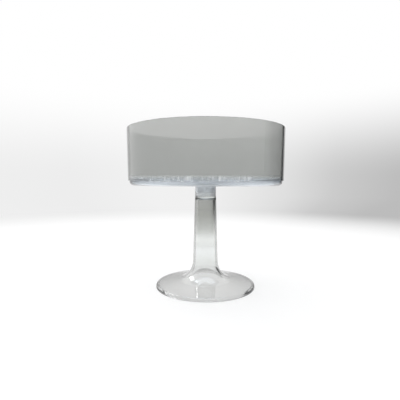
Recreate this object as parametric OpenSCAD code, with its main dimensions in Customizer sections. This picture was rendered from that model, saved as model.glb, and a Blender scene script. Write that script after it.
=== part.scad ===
// Clear straight-sided bowl that lifts off a hollow stem and foot.
// The origin is the middle of the circle that the foot stands on, and Z points up.

/* [Bowl] */
// Outer diameter at the rim
rim_d = 200; // [120:1:300]
// How far the wall leans out on its way from the ledge to the rim
wall_lean = 1.2; // [0.4:0.1:12]
// Width of the stacking ledge, which rests on the rim of a like bowl
ledge_w = 1.6; // [0.8:0.1:2]
// Height of the bowl from the underside of its floor to the rim
bowl_h = 70.5; // [30:0.5:140]
// Height of the stacking ledge above the underside
ledge_h = 5.8; // [5.2:0.1:9]
// Radius of the lower outer corner, under the ledge
base_corner_r = 5; // [2:0.1:5.6]
// Wall thickness at the rim
rim_wall = 2.6; // [2:0.1:4]
// Wall thickness at the ledge
ledge_wall = 3.2; // [2.6:0.1:4.5]
// Thickness of the floor
floor_t = 3; // [2:0.1:4.5]
// Radius of the corner inside the bowl, from floor to wall
inner_corner_r = 7; // [3:0.1:14]
// Radius on both edges of the rim
rim_edge_r = 0.8; // [0.3:0.1:1.1]

/* [Socket boss under the bowl] */
// Height of the boss below the floor's underside
boss_h = 14; // [12:0.5:24]
// How far the boss's mouth stands back from the edge of the stem's shoulder
boss_step = 0.2; // [0:0.1:0.8]
// How much the boss narrows from its mouth to the floor, on the radius
boss_lean = 0.3; // [0:0.1:0.8]
// Radius of the corner between the boss and the floor
boss_root_r = 1; // [0.4:0.1:2]
// Radius on the outer edge of the boss's mouth
boss_edge_r = 0.6; // [0.3:0.1:1]
// Wall thickness of the boss around its socket
boss_wall = 2.85; // [1.6:0.05:5]
// Radial clearance of the spigot in the socket
fit_clearance = 0.05; // [0.02:0.01:0.1]
// Air left above the spigot inside the socket
socket_headroom = 2; // [1:0.5:3]

/* [Stem] */
// Height above the table of the stem's shoulder, which the boss rests on
shoulder_h = 118.3; // [70:0.1:240]
// Outer diameter of the stem at its shoulder
stem_top_d = 27.6; // [26:0.1:40]
// How much wider the stem's taper would be at the table, on the radius
stem_taper = 3.5; // [1:0.1:6]
// Wall thickness of the stem
stem_wall = 3.5; // [2.4:0.1:5]
// Thickness of the web that closes the stem's bore under the spigot
web_t = 2.4; // [1.8:0.1:5]
// Radius of the corner at the closed end of the bore
bore_end_r = 3; // [1:0.1:5]
// Radius on the outer edge of the shoulder
shoulder_edge_r = 0.5; // [0.2:0.1:0.8]

/* [Spigot] */
// Height above the shoulder of the spigot that enters the boss
spigot_h = 11; // [6:0.5:12]
// Wall thickness of the spigot, which is hollow from above
spigot_wall = 2.2; // [1.6:0.1:4]
// Radius on the top edges of the spigot
spigot_edge_r = 0.7; // [0.3:0.1:1]

/* [Foot] */
// Outer diameter of the foot
foot_d = 128.9; // [100:0.1:180]
// Height at which the foot's sloping top would meet its outer edge
foot_edge_h = 4; // [3.4:0.1:6]
// Height that the slope of the foot's top would reach on the axis
foot_apex_h = 15.4; // [10:0.1:20]
// Wall thickness of the foot
foot_wall = 3; // [2:0.1:3.5]
// Radius of the hollow curve from the stem into the foot
flare_r = 24; // [10:0.5:30]
// Radius on the foot's upper outer edge
foot_edge_r = 3; // [1:0.1:3.8]
// Radius on the foot's lower outer edge
foot_base_r = 0.5; // [0.2:0.1:1.2]
// Width of the ring under the edge that the foot stands on
lip_w = 4; // [3:0.1:10]
// Radius of the corner between that ring and the foot's underside
lip_corner_r = 1; // [0.4:0.1:1.6]

/* [Hidden] */
$fn = 180;
// Largest turn between two points of a round, in degrees
round_step = 6;

// Directions in the half section, as [outward, up]
out = [1, 0];
up = [0, 1];

rim_r = rim_d / 2;
ledge_r = rim_r - wall_lean;
base_r = ledge_r - ledge_w;
shoulder_r = stem_top_d / 2;
mouth_r = shoulder_r - boss_step;
socket_r = mouth_r - boss_wall;
spigot_r = socket_r - fit_clearance;
cup_r = spigot_r - spigot_wall;
socket_depth = spigot_h + socket_headroom;
spigot_top_h = shoulder_h + spigot_h;
foot_r = foot_d / 2;
lip_r = foot_r - lip_w;

// A line in the half section is [a point on it, its unit direction].
function unit(v) = v / norm(v);
function line(a, b) = [a, unit(b - a)];
function reversed(l) = [l[0], -l[1]];
function left_of(v) = [-v[1], v[0]];
// The line moved sideways, to the left of its direction where d is positive
function beside(l, d) = [l[0] + left_of(l[1]) * d, l[1]];
// The point where two lines cross
function crossing(l, m) =
    let (across = left_of(m[1]))
    l[0] + l[1] * (((m[0] - l[0]) * across) / (l[1] * across));
// The point where a round about c touches the line
function touch(c, l) = l[0] + l[1] * ((c - l[0]) * l[1]);
function bearing(v) = atan2(v[1], v[0]);

// The points of a round of radius r from one line to the next. A positive r rounds off
// an outward corner and a negative r fills an inward one.
function rounded(l, m, r) =
    let (
        centre = crossing(beside(l, r), beside(m, r)),
        start = bearing(touch(centre, l) - centre),
        turn = bearing(m[1]) - bearing(l[1]),
        sweep = turn > 180 ? turn - 360 : turn < -180 ? turn + 360 : turn,
        steps = ceil(abs(sweep) / round_step)
    )
    [for (i = [0:steps])
        let (a = start + sweep * i / steps)
        centre + abs(r) * [cos(a), sin(a)]];

// The bowl's lines, in its own frame with the floor's underside at zero height. They run
// anticlockwise round the half section, so the solid is on the left of each.
boss_face = [[socket_r, -boss_h], out];
boss_side = line([mouth_r, -boss_h], [mouth_r - boss_lean, 0]);
bowl_under = [[0, 0], out];
base_side = [[base_r, 0], up];
ledge_face = [[ledge_r, ledge_h], out];
wall_out = line([ledge_r, ledge_h], [rim_r, bowl_h]);
rim_top = [[rim_r, bowl_h], -out];
wall_in = line([rim_r - rim_wall, bowl_h], [ledge_r - ledge_wall, ledge_h]);
bowl_floor = [[0, floor_t], -out];

// The pedestal's lines, anticlockwise from the closed end of the bore
foot_top = line([foot_r, foot_edge_h], [0, foot_apex_h]);
stem_side = line([shoulder_r + stem_taper, 0], [shoulder_r, shoulder_h]);
bore_end = [[0, shoulder_h - web_t], out];
bore_side = reversed(beside(stem_side, stem_wall));
foot_roof = reversed(beside(foot_top, foot_wall));
lip_side = [[lip_r, 0], -up];
foot_face = [[0, 0], out];
foot_side = [[foot_r, 0], up];
shoulder_face = [[0, shoulder_h], -out];
spigot_side = [[spigot_r, shoulder_h], up];
spigot_top = [[spigot_r, spigot_top_h], -out];
cup_side = [[cup_r, spigot_top_h], -up];

// One moulding: wall, ledge, base ring, floor and the boss with its socket
module bowl()
{
    color([0.80, 0.86, 0.92, 0.5])
    translate([0, 0, shoulder_h + boss_h])
    rotate_extrude()
    polygon(concat(
        [[0, socket_depth - boss_h], [socket_r, socket_depth - boss_h], boss_face[0]],
        rounded(boss_face, boss_side, boss_edge_r),
        rounded(boss_side, bowl_under, -boss_root_r),
        rounded(bowl_under, base_side, base_corner_r),
        [crossing(base_side, ledge_face), ledge_face[0]],
        rounded(wall_out, rim_top, rim_edge_r),
        rounded(rim_top, wall_in, rim_edge_r),
        rounded(wall_in, bowl_floor, -inner_corner_r),
        [bowl_floor[0]]
    ));
}

// One moulding: foot, flare, hollow stem and the spigot that the bowl sits on
module pedestal()
{
    color([0.84, 0.88, 0.87, 0.5])
    rotate_extrude()
    polygon(concat(
        [bore_end[0]],
        rounded(bore_end, bore_side, -bore_end_r),
        rounded(bore_side, foot_roof, flare_r + foot_wall),
        rounded(foot_roof, lip_side, -lip_corner_r),
        [lip_side[0]],
        rounded(foot_face, foot_side, foot_base_r),
        rounded(foot_side, foot_top, foot_edge_r),
        rounded(foot_top, stem_side, -flare_r),
        rounded(stem_side, shoulder_face, shoulder_edge_r),
        [spigot_side[0]],
        rounded(spigot_side, spigot_top, spigot_edge_r),
        rounded(spigot_top, cup_side, spigot_edge_r),
        [crossing(cup_side, shoulder_face), shoulder_face[0]]
    ));
}

bowl();
pedestal();
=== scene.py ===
from math import atan2, ceil, cos, hypot, pi, radians, sin

import bpy
from mathutils import Matrix, Vector


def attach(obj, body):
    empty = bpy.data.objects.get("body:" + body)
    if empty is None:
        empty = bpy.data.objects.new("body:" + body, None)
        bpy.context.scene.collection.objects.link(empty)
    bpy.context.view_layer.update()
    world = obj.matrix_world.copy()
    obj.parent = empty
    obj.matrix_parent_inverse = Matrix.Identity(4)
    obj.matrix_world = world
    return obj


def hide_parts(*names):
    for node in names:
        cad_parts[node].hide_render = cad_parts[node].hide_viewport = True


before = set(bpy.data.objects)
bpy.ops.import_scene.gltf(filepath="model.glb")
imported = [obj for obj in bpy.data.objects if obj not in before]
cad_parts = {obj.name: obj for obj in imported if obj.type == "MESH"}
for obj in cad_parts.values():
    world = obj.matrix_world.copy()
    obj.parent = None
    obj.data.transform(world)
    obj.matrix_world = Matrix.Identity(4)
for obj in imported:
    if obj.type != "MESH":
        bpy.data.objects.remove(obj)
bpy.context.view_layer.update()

scene = bpy.context.scene

MM = 0.001


# ---------------------------------------------------------------- colours and nodes
def linear(code):
    """An sRGB hex colour as the linear colour that Blender's sockets take."""
    channels = [int(code[i:i + 2], 16) / 255 for i in (0, 2, 4)]
    return tuple(c / 12.92 if c <= 0.04045 else ((c + 0.055) / 1.055) ** 2.4
                 for c in channels) + (1.0,)


def add(tree, kind, settings=None, values=None, links=None):
    """Adds a node of that kind, with its settings, its sockets' values and the links into it."""
    made = tree.nodes.new(kind)
    for name, value in (settings or {}).items():
        setattr(made, name, value)
    for name, value in (values or {}).items():
        made.inputs[name].default_value = value
    for name, source in (links or {}).items():
        tree.links.new(source, made.inputs[name])
    return made


# Settings that many of the nodes share
SMOOTH = {"interpolation_type": "SMOOTHSTEP"}
MULTIPLY = {"operation": "MULTIPLY"}
MAXIMUM = {"operation": "MAXIMUM"}
MIXED = {"data_type": "RGBA"}
DEEPENED = {"data_type": "RGBA", "blend_type": "MULTIPLY"}
# A Mix node's sockets for colours, which go by number because its number sockets have the
# same names
MIX_A, MIX_B, MIX_RESULT = 6, 7, 2


def empty_material(name):
    made = bpy.data.materials.new(name)
    made.use_nodes = True
    made.node_tree.nodes.clear()
    return made


def placed(name, data):
    """A new object in the scene with that mesh, lamp or camera."""
    made = bpy.data.objects.new(name, data)
    scene.collection.objects.link(made)
    return made


# ---------------------------------------------------------------- outlines of the two mouldings
# A line in the half section is (a point on it, its unit direction), in millimetres as
# (outward, up), and runs anticlockwise with the plastic on its left.
def unit(v):
    length = hypot(*v)
    return (v[0] / length, v[1] / length)


def line(a, b):
    return (a, unit((b[0] - a[0], b[1] - a[1])))


def reversed_line(l):
    return (l[0], (-l[1][0], -l[1][1]))


def beside(l, distance):
    """The line moved sideways, to the left of its direction where the distance is positive."""
    (x, y), (dx, dy) = l
    return ((x - dy * distance, y + dx * distance), (dx, dy))


def crossing(l, m):
    """The point where two lines cross."""
    (x, y), (dx, dy) = l
    (mx, my), (ex, ey) = m
    step = ((mx - x) * -ey + (my - y) * ex) / (dx * -ey + dy * ex)
    return (x + dx * step, y + dy * step)


def touch(centre, l):
    """The point where a round about the centre touches the line."""
    (x, y), (dx, dy) = l
    along = (centre[0] - x) * dx + (centre[1] - y) * dy
    return (x + dx * along, y + dy * along)


# The largest turn between two points of a round
ROUND_STEP = radians(3)


def rounded(l, m, radius):
    """Points of a round from one line to the next, each with its outward normal. A positive
    radius rounds off an outward corner and a negative one fills an inward corner."""
    centre = crossing(beside(l, radius), beside(m, radius))
    start_point = touch(centre, l)
    start = atan2(start_point[1] - centre[1], start_point[0] - centre[0])
    sweep = atan2(m[1][1], m[1][0]) - atan2(l[1][1], l[1][0])
    sweep = (sweep + pi) % (2 * pi) - pi
    steps = max(2, ceil(abs(sweep) / ROUND_STEP))
    side = 1 if radius > 0 else -1
    points = []
    for i in range(steps + 1):
        a = start + sweep * i / steps
        x, y = cos(a), sin(a)
        points.append((centre[0] + abs(radius) * x, centre[1] + abs(radius) * y,
                       side * x, side * y))
    return points


def on_axis(l):
    """The point where a level line meets the axis, with the line's outward normal."""
    return [(0.0, l[0][1], l[1][1], -l[1][0])]


def ring_mesh(name, outline, turns):
    """A smooth mesh of rings about the axis, one for each (radius, height) point in metres,
    with a single vertex where the radius is zero."""
    vertices, rings = [], []
    for radius, height in outline:
        start = len(vertices)
        if radius == 0.0:
            vertices.append((0.0, 0.0, height))
            rings.append([start] * turns)
            continue
        for i in range(turns):
            a = 2 * pi * i / turns
            vertices.append((radius * cos(a), radius * sin(a), height))
        rings.append(list(range(start, start + turns)))
    faces = []
    for low, high in zip(rings, rings[1:]):
        for i in range(turns):
            j = (i + 1) % turns
            corners = list(dict.fromkeys([low[i], low[j], high[j], high[i]]))
            if len(corners) > 2:
                faces.append(corners)
    mesh = bpy.data.meshes.new(name)
    mesh.from_pydata(vertices, [], faces)
    mesh.polygons.foreach_set("use_smooth", [True] * len(mesh.polygons))
    return mesh


# Vertices in a ring: enough for a smooth rim, and few enough that the exported meshes keep
# every face
TURNS = 264
# A normal that leans outward by less than this counts as level.
LEVEL = 1e-6


def turned(name, outline):
    """A closed solid of revolution from an outline of (radius, height, normal) points."""
    mesh = ring_mesh(name, [(r * MM, z * MM) for r, z, _, _ in outline], TURNS)
    normals, outward = [], []
    for r, _, normal_r, normal_z in outline:
        if r == 0.0:
            normals.append((0.0, 0.0, normal_z))
            outward.append(0.0)
            continue
        for i in range(TURNS):
            a = 2 * pi * i / TURNS
            normals.append((normal_r * cos(a), normal_r * sin(a), normal_z))
        outward.extend([float(normal_r > LEVEL)] * TURNS)
    mesh.update()
    mesh.normals_split_custom_set_from_vertices(normals)
    # 1 on the outside of the piece, and 0 on level faces and those that look toward its axis
    mesh.attributes.new("outside", "FLOAT", "POINT").data.foreach_set("value", outward)
    return placed(name, mesh)


# Sizes in millimetres, the same as in the part's source
RIM_R = 100.0
LEDGE_R = 98.8
BASE_R = 97.2
BOWL_H = 70.5
LEDGE_H = 5.8
BASE_CORNER_R = 5.0
RIM_WALL = 2.6
LEDGE_WALL = 3.2
FLOOR_T = 3.0
INNER_CORNER_R = 7.0
RIM_EDGE_R = 0.8
BOSS_H = 14.0
BOSS_STEP = 0.2
BOSS_LEAN = 0.3
BOSS_ROOT_R = 1.0
BOSS_EDGE_R = 0.6
BOSS_WALL = 2.85
FIT_CLEARANCE = 0.05
SOCKET_HEADROOM = 2.0
SHOULDER_H = 118.3
SHOULDER_R = 13.8
STEM_TAPER = 3.5
STEM_WALL = 3.5
WEB_T = 2.4
BORE_END_R = 3.0
SHOULDER_EDGE_R = 0.5
SPIGOT_H = 11.0
SPIGOT_WALL = 2.2
SPIGOT_EDGE_R = 0.7
FOOT_R = 64.45
FOOT_EDGE_H = 4.0
FOOT_APEX_H = 15.4
FOOT_WALL = 3.0
FLARE_R = 24.0
FOOT_EDGE_R = 3.0
FOOT_BASE_R = 0.5
LIP_W = 4.0
LIP_CORNER_R = 1.0
# The smallest radius that such a mould leaves on a corner that looks sharp
SHARP_R = 0.15
# Air between two faces that rest on each other, so that each shows as a face of its own
HAIR_GAP = 0.04

MOUTH_R = SHOULDER_R - BOSS_STEP
SOCKET_R = MOUTH_R - BOSS_WALL
SPIGOT_R = SOCKET_R - FIT_CLEARANCE
CUP_R = SPIGOT_R - SPIGOT_WALL
SOCKET_DEPTH = SPIGOT_H + SOCKET_HEADROOM
LIP_R = FOOT_R - LIP_W
OUT, UP = (1.0, 0.0), (0.0, 1.0)
IN, DOWN = (-1.0, 0.0), (0.0, -1.0)


def bowl_outline():
    base = SHOULDER_H + BOSS_H
    mouth = SHOULDER_H + HAIR_GAP
    socket_roof = ((0.0, SHOULDER_H + SOCKET_DEPTH), OUT)
    socket_side = ((SOCKET_R, 0.0), DOWN)
    boss_face = ((0.0, mouth), OUT)
    boss_side = line((MOUTH_R, mouth), (MOUTH_R - BOSS_LEAN, base))
    underside = ((0.0, base), OUT)
    base_side = ((BASE_R, 0.0), UP)
    ledge_face = ((0.0, base + LEDGE_H), OUT)
    wall_out = line((LEDGE_R, base + LEDGE_H), (RIM_R, base + BOWL_H))
    rim_top = ((0.0, base + BOWL_H), IN)
    wall_in = line((RIM_R - RIM_WALL, base + BOWL_H), (LEDGE_R - LEDGE_WALL, base + LEDGE_H))
    floor_top = ((0.0, base + FLOOR_T), IN)
    return (on_axis(socket_roof)
            + rounded(socket_roof, socket_side, -SHARP_R)
            + rounded(socket_side, boss_face, SHARP_R)
            + rounded(boss_face, boss_side, BOSS_EDGE_R)
            + rounded(boss_side, underside, -BOSS_ROOT_R)
            + rounded(underside, base_side, BASE_CORNER_R)
            + rounded(base_side, ledge_face, -SHARP_R)
            + rounded(ledge_face, wall_out, SHARP_R)
            + rounded(wall_out, rim_top, RIM_EDGE_R)
            + rounded(rim_top, wall_in, RIM_EDGE_R)
            + rounded(wall_in, floor_top, -INNER_CORNER_R)
            + on_axis(floor_top))


def pedestal_outline():
    top = SHOULDER_H + SPIGOT_H
    foot_top = line((FOOT_R, FOOT_EDGE_H), (0.0, FOOT_APEX_H))
    stem_side = line((SHOULDER_R + STEM_TAPER, 0.0), (SHOULDER_R, SHOULDER_H))
    bore_end = ((0.0, SHOULDER_H - WEB_T), OUT)
    bore_side = reversed_line(beside(stem_side, STEM_WALL))
    foot_roof = reversed_line(beside(foot_top, FOOT_WALL))
    lip_side = ((LIP_R, 0.0), DOWN)
    foot_face = ((0.0, 0.0), OUT)
    foot_side = ((FOOT_R, 0.0), UP)
    shoulder_face = ((0.0, SHOULDER_H), IN)
    spigot_side = ((SPIGOT_R, 0.0), UP)
    spigot_top = ((0.0, top), IN)
    cup_side = ((CUP_R, 0.0), DOWN)
    return (on_axis(bore_end)
            + rounded(bore_end, bore_side, -BORE_END_R)
            + rounded(bore_side, foot_roof, FLARE_R + FOOT_WALL)
            + rounded(foot_roof, lip_side, -LIP_CORNER_R)
            + rounded(lip_side, foot_face, SHARP_R)
            + rounded(foot_face, foot_side, FOOT_BASE_R)
            + rounded(foot_side, foot_top, FOOT_EDGE_R)
            + rounded(foot_top, stem_side, -FLARE_R)
            + rounded(stem_side, shoulder_face, SHOULDER_EDGE_R)
            + rounded(shoulder_face, spigot_side, -SHARP_R)
            + rounded(spigot_side, spigot_top, SPIGOT_EDGE_R)
            + rounded(spigot_top, cup_side, SPIGOT_EDGE_R)
            + rounded(cup_side, shoulder_face, -SHARP_R)
            + on_axis(shoulder_face))


# ---------------------------------------------------------------- clear polystyrene
# Heights and distances are in millimetres.
POLYSTYRENE_IOR = 1.59
# The height that stands for 1 along the casts' ramp
CAST_REACH = 203.0
# A height above the whole object, for a piece whose inner faces aren't pale
ABOVE_ALL = 300.0
# Distances upward over which the painted shade of the upright edges and the pale inner faces
# come in
EDGE_FADE = 14.0
INNER_FADE = 4.0
# The painted shade of the foot's outer edge is full below the lower height and gone above the
# upper.
FOOT_RIM_SHADE = "686868"
FOOT_RIM_LOWER, FOOT_RIM_UPPER = 2.8, 3.6
# The painted shade on the foot's slope comes in from the one to the other, where 0 is face-on
# and 1 is edge-on.
SLOPE_SHADE = "8c8c8c"
SLOPE_FROM, SLOPE_TO = 0.5, 0.8
# Pale streaks: the distance between streaks, the size of the patches they come in, how far those
# are turned round the axis, and the fade at their lowest and highest ends
STREAK_COLOUR = "fafbfc"
STREAK_CLEARNESS = 0.8
STREAK_SPACING = 3.0
STREAK_PATCH = 50.0
STREAK_PATCH_TURN = -0.9
STREAK_FADE = 1.0
# The noise of a streak is squeezed to this share in height, which draws it out upward.
STREAK_SQUEEZE = 0.15
# The values of their noise at which a streak and a patch come in and are full
STREAK_FROM, STREAK_TO = 0.46, 0.70
PATCH_FROM, PATCH_TO = 0.40, 0.54
# The upward part of the normal above which a face counts as level and has no marks, and below
# which it counts as upright
LEVEL_FACE, UPRIGHT_FACE = 0.9, 0.5
# Flow waves: the distance between them, their depth and strength, and the same squeeze
WAVE_SPACING = 12.0
WAVE_DEPTH = 0.06
WAVE_STRENGTH = 0.35
WAVE_SQUEEZE = 0.2
# Wiping haze: its patches, the noise values at which it comes in and is full, and how many
# times rougher the skin is there
WIPED_PATCH = 25.0
WIPED_FROM, WIPED_TO = 0.35, 0.75
WIPED_DULLNESS = 2.5
# Faces that stand or rub on others: how many times rougher, and the fade up to the rest
STANDING_DULLNESS = 6.0
STANDING_FADE = 1.5


def cast_and_painted_shade(tree, height, casts_and_shade):
    """The colour of each face, partly the plastic's tint and partly painted shade and highlight,
    and, as its alpha, how clear it is, by (height, colour, clearness) on the piece. What isn't
    clear is a milky haze in that colour."""
    share = add(tree, "ShaderNodeMapRange", values={"From Max": CAST_REACH * MM},
                links={"Value": height})
    shaded_cast = add(tree, "ShaderNodeValToRGB", links={"Fac": share.outputs["Result"]})
    while len(shaded_cast.color_ramp.elements) < len(casts_and_shade):
        shaded_cast.color_ramp.elements.new(0.5)
    for element, (at, colour, clearness) in zip(shaded_cast.color_ramp.elements, casts_and_shade):
        element.position = at / CAST_REACH
        element.color = linear(colour)[:3] + (clearness,)
    return shaded_cast


def edge_darkened(tree, colour, height, outside, edge_shade, edge_from, edge_to, edge_above):
    """The colour, with painted shade deeper on outward faces seen edge-on. It stands in for the
    dark surroundings that such edges show where the light runs along the wall and not through
    it. The foot's outer edge and its slope have painted shade of their own."""
    facing = add(tree, "ShaderNodeLayerWeight", values={"Blend": 0.5}).outputs["Facing"]
    upright = add(tree, "ShaderNodeMapRange", SMOOTH,
                  {"From Min": edge_above * MM, "From Max": (edge_above + EDGE_FADE) * MM},
                  {"Value": height})
    foot_rim = add(tree, "ShaderNodeMapRange", SMOOTH,
                   {"From Min": FOOT_RIM_UPPER * MM, "From Max": FOOT_RIM_LOWER * MM},
                   {"Value": height})
    grazing = add(tree, "ShaderNodeMapRange", SMOOTH,
                  {"From Min": edge_from, "From Max": edge_to}, {"Value": facing})
    outer_edge = add(tree, "ShaderNodeMath", MULTIPLY,
                     links={0: grazing.outputs["Result"], 1: outside})
    steep = add(tree, "ShaderNodeMath", MAXIMUM,
                links={0: upright.outputs["Result"], 1: foot_rim.outputs["Result"]})
    edge = add(tree, "ShaderNodeMath", MULTIPLY,
               links={0: outer_edge.outputs["Value"], 1: steep.outputs["Value"]})
    edge_shade_tint = add(tree, "ShaderNodeMix", MIXED,
                    {MIX_A: linear(edge_shade), MIX_B: linear(FOOT_RIM_SHADE)},
                    {"Factor": foot_rim.outputs["Result"]})
    edged = add(tree, "ShaderNodeMix", DEEPENED,
                links={"Factor": edge.outputs["Value"], MIX_A: colour,
                       MIX_B: edge_shade_tint.outputs[MIX_RESULT]})
    # The eye meets the slope of the foot at a low angle on its far side, and painted shade
    # darkens it there.
    low_part = add(tree, "ShaderNodeMapRange", values={"To Min": 1.0, "To Max": 0.0},
                   links={"Value": upright.outputs["Result"]})
    outer_low = add(tree, "ShaderNodeMath", MULTIPLY,
                    links={0: low_part.outputs["Result"], 1: outside})
    glancing = add(tree, "ShaderNodeMapRange", SMOOTH,
                   {"From Min": SLOPE_FROM, "From Max": SLOPE_TO}, {"Value": facing})
    slope = add(tree, "ShaderNodeMath", MULTIPLY,
                links={0: outer_low.outputs["Value"], 1: glancing.outputs["Result"]})
    sloped = add(tree, "ShaderNodeMix", DEEPENED, {MIX_B: linear(SLOPE_SHADE)},
                 {"Factor": slope.outputs["Value"], MIX_A: edged.outputs[MIX_RESULT]})
    return sloped.outputs[MIX_RESULT]


def pale_streaks(tree, place, height, streaks_from, streaks_to):
    """How streaked each point is: pale, hazier streaks between the two heights, on upright
    faces. The real ones are finer than the picture shows, so they are drawn as coarse as they
    need to be: streaks about 3 mm apart, in patches of about 50 mm."""
    faces = add(tree, "ShaderNodeSeparateXYZ", links={"Vector": place["Normal"]})
    level = add(tree, "ShaderNodeMath", {"operation": "ABSOLUTE"},
                links={0: faces.outputs["Z"]})
    upright_mask = add(tree, "ShaderNodeMapRange", SMOOTH,
                  {"From Min": LEVEL_FACE, "From Max": UPRIGHT_FACE},
                  {"Value": level.outputs["Value"]})
    upward = add(tree, "ShaderNodeMapping", values={"Scale": (1.0, 1.0, STREAK_SQUEEZE)},
                 links={"Vector": place["Object"]})
    streaks = add(tree, "ShaderNodeTexNoise",
                  values={"Scale": 1 / (STREAK_SPACING * MM), "Detail": 3.0, "Roughness": 0.65},
                  links={"Vector": upward.outputs["Vector"]})
    marks = add(tree, "ShaderNodeMapRange",
                values={"From Min": STREAK_FROM, "From Max": STREAK_TO},
                links={"Value": streaks.outputs["Fac"]})
    turned_round = add(tree, "ShaderNodeMapping", values={"Rotation": (0.0, 0.0, STREAK_PATCH_TURN)},
                       links={"Vector": place["Object"]})
    patches = add(tree, "ShaderNodeTexNoise",
                  values={"Scale": 1 / (STREAK_PATCH * MM), "Detail": 1.0},
                  links={"Vector": turned_round.outputs["Vector"]})
    patch = add(tree, "ShaderNodeMapRange",
                values={"From Min": PATCH_FROM, "From Max": PATCH_TO},
                links={"Value": patches.outputs["Fac"]})
    above = add(tree, "ShaderNodeMapRange", SMOOTH,
                {"From Min": streaks_from * MM, "From Max": (streaks_from + STREAK_FADE) * MM},
                {"Value": height})
    below = add(tree, "ShaderNodeMapRange", SMOOTH,
                {"From Min": streaks_to * MM, "From Max": (streaks_to - STREAK_FADE) * MM},
                {"Value": height})
    streaked = marks
    for mask in (upright_mask, patch, above, below):
        streaked = add(tree, "ShaderNodeMath", MULTIPLY,
                   links={0: streaked.outputs[0], 1: mask.outputs["Result"]})
    return streaked.outputs["Value"]


def flow_waves(tree, place):
    """The normal, with faint waves where the plastic flowed: about 12 mm apart round the
    walls and five times as long upward."""
    stretched = add(tree, "ShaderNodeMapping", values={"Scale": (1.0, 1.0, WAVE_SQUEEZE)},
                    links={"Vector": place["Object"]})
    waves = add(tree, "ShaderNodeTexNoise",
                values={"Scale": 1 / (WAVE_SPACING * MM), "Detail": 2.0, "Roughness": 0.4},
                links={"Vector": stretched.outputs["Vector"]})
    bump = add(tree, "ShaderNodeBump",
               values={"Strength": WAVE_STRENGTH, "Distance": WAVE_DEPTH * MM},
               links={"Height": waves.outputs["Fac"]})
    return bump.outputs["Normal"]


def used_skin(tree, place, height, roughness, rough_below):
    """The roughness of a polished skin that has been wiped, in patches of about 25 mm, and
    is duller low down, where it stands on things or rubs on them."""
    haze = add(tree, "ShaderNodeTexNoise",
               values={"Scale": 1 / (WIPED_PATCH * MM), "Detail": 4.0, "Roughness": 0.6},
               links={"Vector": place["Object"]})
    skin = add(tree, "ShaderNodeMapRange",
               values={"From Min": WIPED_FROM, "From Max": WIPED_TO,
                       "To Min": roughness, "To Max": roughness * WIPED_DULLNESS},
               links={"Value": haze.outputs["Fac"]})
    low = add(tree, "ShaderNodeMapRange", SMOOTH,
              {"From Min": rough_below * MM, "From Max": (rough_below - STANDING_FADE) * MM,
               "To Min": 1.0, "To Max": STANDING_DULLNESS}, {"Value": height})
    dull = add(tree, "ShaderNodeMath", MULTIPLY,
               links={0: skin.outputs["Result"], 1: low.outputs["Result"]})
    return dull.outputs["Value"]


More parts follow.
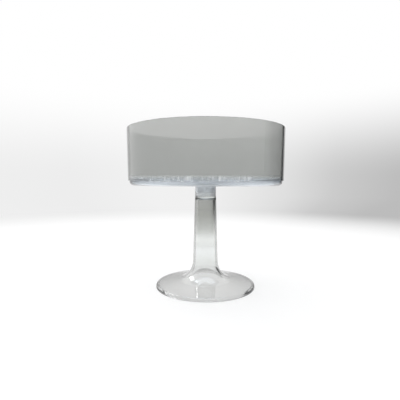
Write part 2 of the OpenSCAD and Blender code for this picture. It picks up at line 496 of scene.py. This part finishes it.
def moulded_polystyrene(name, casts_and_shade, edge_shade, edge_from, edge_to, edge_above, thick_tint,
                        thick_density, roughness, rough_below, streaks_from, streaks_to,
                        inner_cast="ffffff", inner_above=ABOVE_ALL):
    """Clear polystyrene from a polished mould: sharp reflections and see-through walls, a grey
    tint in the outer skin, graded by height and partly painted shade and highlight, a little
    haze, painted shade on faces seen edge-on, a colour that only thick plastic shows, faint
    waves where the plastic flowed, and a duller skin low down and where it was wiped.

    Outward faces above edge_above take edge_shade, a painted shade, as they turn edge-on, from
    edge_from to edge_to, where 0 is face-on. Inner faces above inner_above take inner_cast. The
    skin is duller below rough_below, and pale, hazier streaks lie from streaks_from to
    streaks_to."""
    made = empty_material(name)
    tree = made.node_tree
    place = add(tree, "ShaderNodeTexCoord").outputs
    height = add(tree, "ShaderNodeSeparateXYZ", links={"Vector": place["Object"]}).outputs["Z"]
    outside = add(tree, "ShaderNodeAttribute", {"attribute_name": "outside"}).outputs["Fac"]
    # The colours by height are partly the plastic's tint and partly painted shade and highlight.
    shaded_cast = cast_and_painted_shade(tree, height, casts_and_shade)
    # Painted shade darkens the outward faces as they turn edge-on.
    darkened = edge_darkened(tree, shaded_cast.outputs["Color"], height, outside,
                             edge_shade, edge_from, edge_to, edge_above)
    # The inner faces of the walls are pale, and the grey is in the outer skin.
    inner = add(tree, "ShaderNodeMapRange", values={"To Min": 1.0, "To Max": 0.0},
                links={"Value": outside})
    high = add(tree, "ShaderNodeMapRange", SMOOTH,
               {"From Min": inner_above * MM, "From Max": (inner_above + INNER_FADE) * MM},
               {"Value": height})
    inner_wall = add(tree, "ShaderNodeMath", MULTIPLY,
                     links={0: inner.outputs["Result"], 1: high.outputs["Result"]})
    walled = add(tree, "ShaderNodeMix", MIXED, {MIX_B: linear(inner_cast)},
                 {"Factor": inner_wall.outputs["Value"], MIX_A: darkened})
    streaked = pale_streaks(tree, place, height, streaks_from, streaks_to)
    streaked_colour = add(tree, "ShaderNodeMix", MIXED, {MIX_B: linear(STREAK_COLOUR)},
                 {"Factor": streaked, MIX_A: walled.outputs[MIX_RESULT]})
    streak_haze = add(tree, "ShaderNodeMapRange",
                      values={"To Min": 1.0, "To Max": STREAK_CLEARNESS}, links={"Value": streaked})
    hazed_clearness = add(tree, "ShaderNodeMath", MULTIPLY,
                          links={0: shaded_cast.outputs["Alpha"], 1: streak_haze.outputs["Result"]})
    # Washing has hazed the walls on the inside, and handling what lies below them on the
    # outside. The other faces are clear.
    hazed_side = add(tree, "ShaderNodeMix", {"data_type": "FLOAT"},
                     links={"Factor": high.outputs["Result"], 2: outside,
                            3: inner.outputs["Result"]})
    clearness = add(tree, "ShaderNodeMapRange", values={"To Min": 1.0},
                    links={"Value": hazed_side.outputs[0],
                           "To Max": hazed_clearness.outputs["Value"]})
    clear = add(tree, "ShaderNodeBsdfPrincipled",
                values={"Metallic": 0.0, "IOR": POLYSTYRENE_IOR},
                links={"Base Color": streaked_colour.outputs[MIX_RESULT],
                       "Roughness": used_skin(tree, place, height, roughness, rough_below),
                       "Transmission Weight": clearness.outputs["Result"],
                       "Normal": flow_waves(tree, place)})
    thick = add(tree, "ShaderNodeVolumeAbsorption",
                values={"Color": linear(thick_tint), "Density": thick_density})
    add(tree, "ShaderNodeOutputMaterial",
        links={"Surface": clear.outputs["BSDF"], "Volume": thick.outputs["Volume"]})
    return made


# The boss and the underside have a bluish tint. The underside and the bottom of the base's outer
# corner are also paler and hazier, a painted highlight along the bottom edge. The base ring is
# the darkest, which is painted shade, and the wall is a haze of even grey up to the paler rim,
# partly the plastic's tint and partly painted shade of the dim backdrop seen through it.
bowl_plastic = moulded_polystyrene(
    "clear_polystyrene_moulded_bowl",
    casts_and_shade=((0, "fbfdfe", 0.76), (121, "fbfdfe", 0.76), (125, "eaeef1", 0.66),
           (131.5, "eaeef1", 0.66), (132.2, "eef2f7", 0.58), (133.3, "f0f4fa", 0.56),
           (134.5, "b6c0c7", 0.72), (135.3, "a5aeb5", 0.72), (137, "a9b1b8", 0.74),
           (138, "bec6cb", 0.74), (140, "ccd1d4", 0.72), (142, "ccd0cf", 0.64),
           (144, "c7c8c5", 0.45), (200.6, "c7c8c5", 0.45), (202.4, "d6d7d5", 0.48)),
    inner_cast="f8f9f8", inner_above=141,
    edge_shade="6c6c6c", edge_from=0.70, edge_to=0.78, edge_above=100,
    thick_tint="7fc4ff", thick_density=1.2,
    roughness=0.02, rough_below=136.5, streaks_from=136.6, streaks_to=143.5)
# The foot is nearly clear, the bottom of the stem is the palest, and its top is grey. These
# greys by height are painted shade: on the stem's top under the bowl, and low on the foot over
# its own shadow.
pedestal_plastic = moulded_polystyrene(
    "clear_polystyrene_moulded_pedestal",
    casts_and_shade=((0, "d6d6d6", 0.97), (2.5, "dddddd", 0.97), (4.5, "e1e1e0", 0.97),
           (8, "e7e7e6", 0.97), (13, "ececeb", 0.98), (20, "e8e8e8", 1.0),
           (31, "eff0ef", 1.0), (47, "f3f4f4", 1.0), (54, "eaebea", 1.0),
           (60, "f1f2f1", 1.0), (63, "eeefee", 1.0), (68, "e4e5e4", 1.0),
           (73, "dadbd9", 1.0), (80, "d4d5d3", 1.0), (93, "cdcecb", 1.0),
           (114, "cfd0ce", 1.0), (117, "e2e3e2", 1.0), (130, "e6e9ea", 1.0)),
    edge_shade="a9a9a9", edge_from=0.33, edge_to=0.45, edge_above=14,
    thick_tint="b4e6d2", thick_density=3.0,
    roughness=0.02, rough_below=1.0, streaks_from=0.1, streaks_to=1.8)

bowl = turned("bowl_moulding", bowl_outline())
bowl.data.materials.append(bowl_plastic)
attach(bowl, "bowl")
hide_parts("bowl")

pedestal = turned("pedestal_moulding", pedestal_outline())
pedestal.data.materials.append(pedestal_plastic)
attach(pedestal, "pedestal")
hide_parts("pedestal")


# ---------------------------------------------------------------- stage
# Metres. The floor lies a hair under the foot.
COVE_FLAT_R = 2.5
COVE_CURVE_R = 0.5
COVE_TOP = 2.6
COVE_FLAT_STEPS = 8
COVE_CURVE_STEPS = 24
COVE_TURNS = 160
FLOOR_DROP = 0.05 * MM
# The floor is white out to the first radius and has the wall's low tone, painted shade, from the
# second.
TABLE_REACH, TABLE_END = 0.45, 1.15
# The wall has its low tone, painted shade, up to the first height and is white from the second.
WALL_LOW, WALL_HIGH = 0.15, 1.0
# The share of the floor's own glow in what shows close to the object
NEAR_GLOW = 0.75
# Painted shade low on the wall by the angle round it, from straight behind the object and
# positive to the right, greyest on the right out of the picture. The picture takes in about 35
# degrees of the wall on each side.
WALL_SHADE_TONES = ((-180, "ededed"), (-60, "f1f1f1"), (-25, "ededed"), (-10, "f1f1f1"),
              (0, "f0f0f0"), (8, "e8e8e8"), (16, "dedede"), (24, "cbcbcb"), (34.5, "bcbcbc"),
              (60, "bcbcbc"), (95, "cbcbcb"), (125, "e7e7e7"), (180, "ededed"))


def cove():
    """A round seamless studio: a flat floor that curves up into a wall all round."""
    outline = [(COVE_FLAT_R * i / COVE_FLAT_STEPS, 0.0) for i in range(COVE_FLAT_STEPS + 1)]
    for i in range(1, COVE_CURVE_STEPS + 1):
        a = pi / 2 * i / COVE_CURVE_STEPS
        outline.append((COVE_FLAT_R + COVE_CURVE_R * sin(a), COVE_CURVE_R * (1 - cos(a))))
    outline.append((COVE_FLAT_R + COVE_CURVE_R, COVE_TOP))
    outline = [(r, z - FLOOR_DROP) for r, z in outline]
    return placed("studio_cove", ring_mesh("studio_cove", outline, COVE_TURNS))


def cove_paint():
    """Matt white paint. Its pale tone is what the eye, the gloss and the clear plastic see, with
    painted shade that makes it greyer low on the wall and on the right."""
    made = empty_material("cove_paint_with_painted_shade")
    tree = made.node_tree
    place = add(tree, "ShaderNodeTexCoord").outputs["Object"]
    xyz = add(tree, "ShaderNodeSeparateXYZ", links={"Vector": place}).outputs
    angle = add(tree, "ShaderNodeMath", {"operation": "ARCTAN2"},
                links={0: xyz["X"], 1: xyz["Y"]})
    turn = add(tree, "ShaderNodeMapRange", values={"From Min": -pi, "From Max": pi},
               links={"Value": angle.outputs["Value"]})
    # Painted shade round the wall, greyest on the right.
    wall_shade_round = add(tree, "ShaderNodeValToRGB", links={"Fac": turn.outputs["Result"]})
    while len(wall_shade_round.color_ramp.elements) < len(WALL_SHADE_TONES):
        wall_shade_round.color_ramp.elements.new(0.5)
    for element, (degrees, tone) in zip(wall_shade_round.color_ramp.elements, WALL_SHADE_TONES):
        element.position = (degrees + 180) / 360
        element.color = linear(tone)
    # Painted shade: the wall grows lighter upward.
    rise = add(tree, "ShaderNodeMapRange", SMOOTH,
               {"From Min": WALL_LOW, "From Max": WALL_HIGH}, {"Value": xyz["Z"]})
    wall = add(tree, "ShaderNodeMix", MIXED, {MIX_B: linear("ffffff")},
               {"Factor": rise.outputs["Result"], MIX_A: wall_shade_round.outputs["Color"]})
    # The floor is white round the object and runs into the wall's low tone and its painted
    # shade.
    reach = add(tree, "ShaderNodeVectorMath", {"operation": "LENGTH"}, links={0: place})
    edge = add(tree, "ShaderNodeMapRange", SMOOTH,
               {"From Min": TABLE_REACH, "From Max": TABLE_END},
               {"Value": reach.outputs["Value"]})
    tone = add(tree, "ShaderNodeMix", MIXED, {MIX_A: linear("ffffff")},
               {"Factor": edge.outputs["Result"], MIX_B: wall.outputs[MIX_RESULT]})
    seen = add(tree, "ShaderNodeLightPath").outputs
    direct = add(tree, "ShaderNodeMath", MAXIMUM,
                 links={0: seen["Is Camera Ray"], 1: seen["Is Glossy Ray"]})
    shown = add(tree, "ShaderNodeMath", MAXIMUM,
                links={0: direct.outputs["Value"], 1: seen["Is Transmission Ray"]})
    # Near the object part of what shows is the paint under the lamps, so its shadow stays.
    keep = add(tree, "ShaderNodeMapRange", values={"To Min": NEAR_GLOW, "To Max": 1.0},
               links={"Value": edge.outputs["Result"]})
    share = add(tree, "ShaderNodeMath", MULTIPLY,
                links={0: shown.outputs["Value"], 1: keep.outputs["Result"]})
    matt = add(tree, "ShaderNodeBsdfDiffuse", values={"Color": linear("f4f4f4")})
    glow = add(tree, "ShaderNodeEmission", values={"Strength": 1.0},
               links={"Color": tone.outputs[MIX_RESULT]})
    mixed = add(tree, "ShaderNodeMixShader",
                links={0: share.outputs["Value"], 1: matt.outputs["BSDF"],
                       2: glow.outputs["Emission"]})
    add(tree, "ShaderNodeOutputMaterial", links={"Surface": mixed.outputs["Shader"]})
    return made


# A folded card stands to the right, out of the picture: a dark sheet put where the room has only
# shade, which gives the clear edges their dark. Its painted shade grows paler toward its near
# end and its top, so that the picture shows no hard line in the bowl's side.
CARD_NEAR, CARD_FOLD, CARD_FAR, CARD_TOP = (1.30, -0.12), (1.30, 0.90), (1.50, 2.10), 1.4
CARD_GRADE = 0.42
CARD_FADE_FROM = 0.6


def folded_card():
    mesh = bpy.data.meshes.new("graded_card")
    mesh.from_pydata([(*end, z) for z in (0.0, CARD_TOP)
                      for end in (CARD_NEAR, CARD_FOLD, CARD_FAR)],
                     [], [(0, 1, 4, 3), (1, 2, 5, 4)])
    return placed("graded_card", mesh)


def card_paint():
    """Matt paint, graded as painted shade from pale at the near end to nearly black, and paler
    again toward the top."""
    made = empty_material("card_painted_shade")
    tree = made.node_tree
    place = add(tree, "ShaderNodeTexCoord").outputs["Object"]
    xyz = add(tree, "ShaderNodeSeparateXYZ", links={"Vector": place}).outputs
    along = add(tree, "ShaderNodeMapRange", SMOOTH,
                {"From Min": CARD_NEAR[1], "From Max": CARD_NEAR[1] + CARD_GRADE},
                {"Value": xyz["Y"]})
    # Painted shade along the card, from pale at its near end to nearly black.
    graded = add(tree, "ShaderNodeMix", MIXED,
                 {MIX_A: linear("b3b3b3"), MIX_B: linear("272727")},
                 {"Factor": along.outputs["Result"]})
    upward = add(tree, "ShaderNodeMapRange", SMOOTH,
                 {"From Min": CARD_FADE_FROM, "From Max": CARD_TOP}, {"Value": xyz["Z"]})
    faded = add(tree, "ShaderNodeMix", MIXED, {MIX_B: linear("dadada")},
                {"Factor": upward.outputs["Result"], MIX_A: graded.outputs[MIX_RESULT]})
    matt = add(tree, "ShaderNodeBsdfDiffuse", links={"Color": faded.outputs[MIX_RESULT]})
    add(tree, "ShaderNodeOutputMaterial", links={"Surface": matt.outputs["BSDF"]})
    return made


studio = cove()
studio.data.materials.append(cove_paint())

card = folded_card()
card.data.materials.append(card_paint())


def softbox(name, place, aim, width, height, watts):
    lamp = bpy.data.lights.new(name, "AREA")
    lamp.shape = "RECTANGLE"
    lamp.size, lamp.size_y = width, height
    lamp.energy = watts
    made = placed(name, lamp)
    made.location = place
    made.rotation_mode = "QUATERNION"
    made.rotation_quaternion = (Vector(aim) - Vector(place)).to_track_quat("-Z", "Y")
    made.visible_camera = False


softbox("softbox_above", place=(0.0, 0.0, 1.8), aim=(0, 0, 0),
        width=1.6, height=1.6, watts=19.0)
softbox("softbox_left", place=(-0.60, 0.35, 0.90), aim=(0, 0, 0.05),
        width=0.3, height=0.7, watts=4.0)

world = bpy.data.worlds.new("studio_room")
world.use_nodes = True
scene.world = world
world.node_tree.nodes.clear()
room = add(world.node_tree, "ShaderNodeBackground",
           values={"Color": linear("f2f3f4"), "Strength": 1.0})
add(world.node_tree, "ShaderNodeOutputWorld", links={"Surface": room.outputs["Background"]})

# ---------------------------------------------------------------- camera
# Fitted to the circles of the rim, ledge, base and foot in the photograph
CAMERA_PLACE = (0.0, -0.441, 0.1391)
CAMERA_DOWN = radians(3.405)
CAMERA_TURN = radians(-0.94)
CAMERA_ROLL = radians(0.14)
FOCAL_PIXELS = 338.0
PICTURE_PIXELS = 400.0

forward = Vector((sin(CAMERA_TURN) * cos(CAMERA_DOWN), cos(CAMERA_TURN) * cos(CAMERA_DOWN),
                  -sin(CAMERA_DOWN)))
level = Vector((cos(CAMERA_TURN), -sin(CAMERA_TURN), 0.0))
upright = level.cross(forward)
right = level * cos(CAMERA_ROLL) + upright * sin(CAMERA_ROLL)
top = upright * cos(CAMERA_ROLL) - level * sin(CAMERA_ROLL)
lens = bpy.data.cameras.new("camera")
lens.sensor_width = 36.0
lens.lens = FOCAL_PIXELS / PICTURE_PIXELS * lens.sensor_width
lens.clip_start, lens.clip_end = 0.01, 10.0
camera = placed("camera", lens)
camera.matrix_world = (Matrix.Translation(CAMERA_PLACE)
                       @ Matrix((right, top, -forward)).transposed().to_4x4())
scene.camera = camera

scene.view_settings.view_transform = "Standard"
